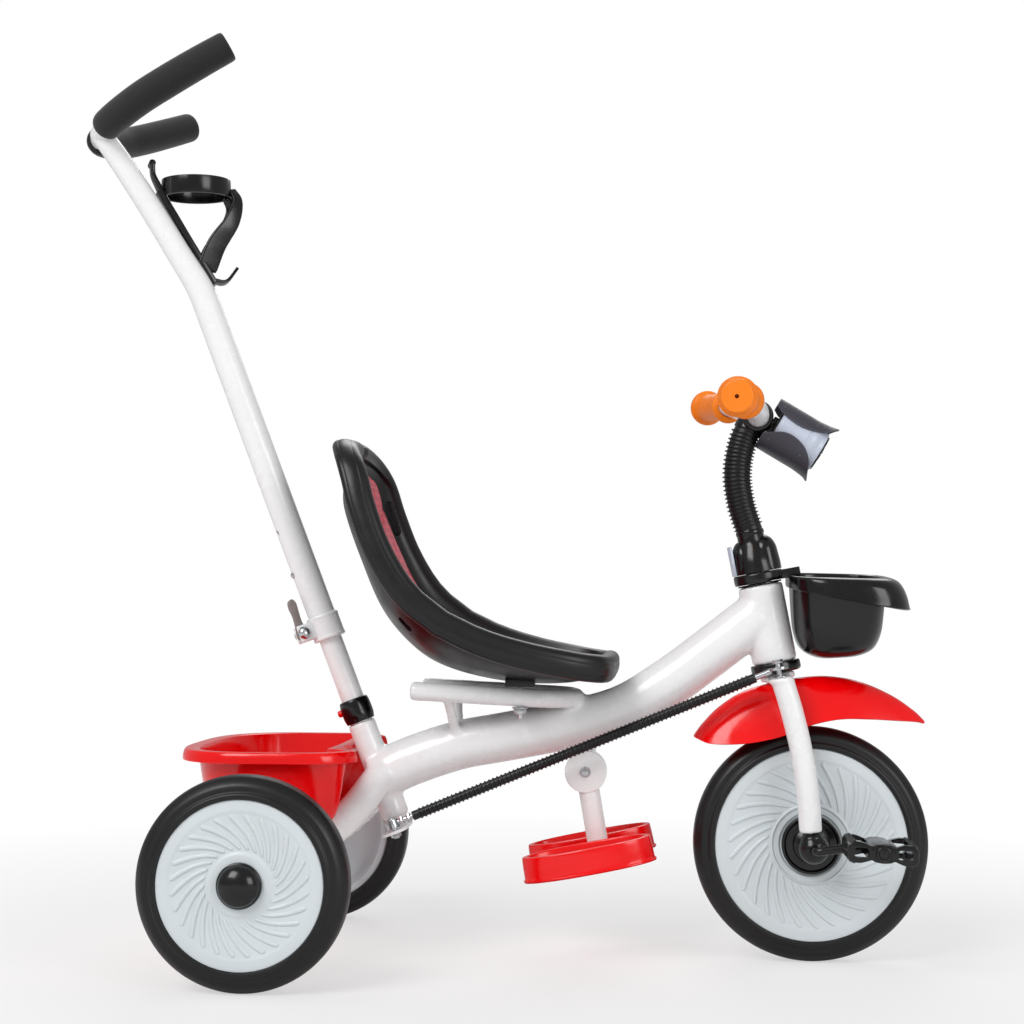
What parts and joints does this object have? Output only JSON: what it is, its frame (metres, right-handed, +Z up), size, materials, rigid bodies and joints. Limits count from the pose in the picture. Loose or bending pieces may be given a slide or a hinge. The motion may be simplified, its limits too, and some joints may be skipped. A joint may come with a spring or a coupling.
{
  "type": "tricycle",
  "caption": "Child's tricycle with pedals on the front wheel, bucket seat, turning push rod, folding footrest, two baskets and a toy lamp.",
  "frame": {"origin": "on the ground, under the middle of the tricycle's bounding box", "axes": "+X forwards, +Y to the rider's left, +Z up"},
  "size_m": [0.8862, 0.466, 0.957],
  "materials": {
    "white_paint": "gloss white powder coat",
    "steel": "zinc plated",
    "black_paint": "gloss black paint on steel",
    "red_plastic": "gloss red moulding",
    "black_plastic": "gloss black moulding",
    "black_foam": "soft matte foam",
    "tyre_foam": "moulded foam tyre",
    "grey_plastic": "satin pale grey moulding",
    "orange_plastic": "soft orange moulding",
    "red_fabric": "woven pad cover",
    "lamp_shell": "satin blue-grey moulding",
    "lamp_cover": "satin dark grey moulding",
    "clear_lens": "clear plastic"
  },
  "bodies": {
    "frame_body": {"frame": "white_paint", "rear_axle": "steel", "head_bush_lower": "black_plastic", "head_bush_upper": "black_plastic", "rear_basket": "red_plastic", "seat_shell": "black_plastic", "seat_cushion": "red_fabric", "seat_bolt_right": "steel", "seat_bolt_left": "steel", "socket_collar": "black_plastic", "footrest_bracket": "white_paint"},
    "rear_wheel_right_body": {"rear_tyre_right": "tyre_foam", "rear_wheel_right": "grey_plastic", "hub_cap_right": "black_plastic"},
    "rear_wheel_left_body": {"rear_tyre_left": "tyre_foam", "rear_wheel_left": "grey_plastic", "hub_cap_left": "black_plastic"},
    "steering_body": {"fork": "white_paint", "link_bracket": "steel", "fender": "red_plastic", "basket_bracket": "black_plastic", "front_basket": "black_plastic", "stem_cover": "black_plastic", "stem_tube": "steel", "stem_hose": "black_plastic", "bar_clamp": "black_plastic", "handlebar": "white_paint", "grip_right": "orange_plastic", "grip_left": "orange_plastic", "axle_block_right": "black_plastic", "axle_block_left": "black_plastic"},
    "lamp_body_tilt": {"lamp_bracket": "black_plastic", "lamp_body": "lamp_shell", "lamp_cover_upper": "lamp_cover", "lamp_cover_lower": "lamp_cover", "lamp_lens": "clear_lens"},
    "lock_tab_body": {"stem_lock_tab": "lamp_shell"},
    "front_wheel_body": {"front_tyre": "tyre_foam", "front_wheel": "grey_plastic", "front_hub": "black_plastic", "crank_axle": "black_paint"},
    "pedal_right_body": {"pedal_right": "black_plastic"},
    "pedal_left_body": {"pedal_left": "black_plastic"},
    "push_rod_body": {"lower_rod": "white_paint"},
    "upper_rod_body": {"upper_rod": "white_paint", "rod_clamp": "white_paint", "clamp_bolt": "steel", "handle_foam_right": "black_foam", "handle_foam_left": "black_foam", "bottle_cage": "black_plastic"},
    "clamp_lever_body": {"clamp_lever": "grey_plastic"},
    "rod_button_body": {"rod_button": "steel"},
    "collar_button_body": {"collar_button": "red_plastic"},
    "link_body": {"link_rod": "steel", "link_sleeve": "black_plastic"},
    "footrest_body": {"footrest_arm": "white_paint", "foot_trays": "red_plastic", "footrest_bolt": "steel"}
  },
  "joints": [
    {"name": "rear_wheel_right_spin", "type": "hinge", "parent": "frame_body", "child": "rear_wheel_right_body", "pos_m": [-0.21788, -0.2, 0.10113], "axis": [0, 1, 0], "continuous": true},
    {"name": "rear_wheel_left_spin", "type": "hinge", "parent": "frame_body", "child": "rear_wheel_left_body", "pos_m": [-0.21788, 0.2, 0.10113], "axis": [0, 1, 0], "continuous": true},
    {"name": "steering_turn", "type": "hinge", "parent": "frame_body", "child": "steering_body", "pos_m": [0.32412, 0, 0.11897], "axis": [-0.184, 0, 0.9829], "range_deg": [-25, 25]},
    {"name": "front_wheel_spin", "type": "hinge", "parent": "steering_body", "child": "front_wheel_body", "pos_m": [0.32412, 0, 0.11897], "axis": [0, 1, 0], "continuous": true},
    {"name": "pedal_right_spin", "type": "hinge", "parent": "front_wheel_body", "child": "pedal_right_body", "pos_m": [0.38106, -0.108, 0.12698], "axis": [0, 1, 0], "continuous": true},
    {"name": "pedal_left_spin", "type": "hinge", "parent": "front_wheel_body", "child": "pedal_left_body", "pos_m": [0.26718, 0.108, 0.11097], "axis": [0, 1, 0], "continuous": true},
    {"name": "push_rod_turn", "type": "hinge", "parent": "frame_body", "child": "push_rod_body", "pos_m": [-0.09888, 0, 0.131], "axis": [-0.3584, 0, 0.9336], "range_deg": [-26, 26]},
    {"name": "upper_rod_slide", "type": "slide", "parent": "push_rod_body", "child": "upper_rod_body", "axis": [-0.3584, 0, 0.9336], "range_m": [-0.0473, 0]},
    {"name": "clamp_lever_turn", "type": "hinge", "parent": "upper_rod_body", "child": "clamp_lever_body", "pos_m": [-0.20066, -0.01203, 0.33026], "axis": [-0.4238, 0.891, -0.1627], "range_deg": [-95, 0]},
    {"name": "rod_button_press", "type": "slide", "parent": "upper_rod_body", "child": "rod_button_body", "axis": [0.8318, 0.454, 0.3193], "range_m": [0, 0.0008], "stiffness_N_per_m": 800},
    {"name": "collar_button_press", "type": "slide", "parent": "frame_body", "child": "collar_button_body", "axis": [0.9336, 0, 0.3584], "range_m": [0, 0.002], "stiffness_N_per_m": 800},
    {"name": "link_turn", "type": "hinge", "parent": "push_rod_body", "child": "link_body", "pos_m": [-0.09888, -0.038, 0.131], "axis": [-0.3584, 0, 0.9336], "range_deg": [-26, 26]},
    {"name": "lamp_tilt", "type": "hinge", "parent": "steering_body", "child": "lamp_body_tilt", "pos_m": [0.2863, 0, 0.54936], "axis": [0, 1, 0], "range_deg": [-25, 3]},
    {"name": "stem_tab_pull", "type": "hinge", "parent": "steering_body", "child": "lock_tab_body", "pos_m": [0.24658, 0, 0.39085], "axis": [0, 1, 0], "range_deg": [-12, 0], "stiffness_Nm_per_rad": 0.05},
    {"name": "footrest_fold", "type": "hinge", "parent": "frame_body", "child": "footrest_body", "pos_m": [0.09512, 0, 0.1896], "axis": [0, 1, 0], "range_deg": [-35, 35]}
  ],
  "couplings": [
    {"joint": "push_rod_turn", "follows": "steering_turn", "ratio": 1.0145},
    {"joint": "link_turn", "follows": "steering_turn", "ratio": -1.0145}
  ]
}
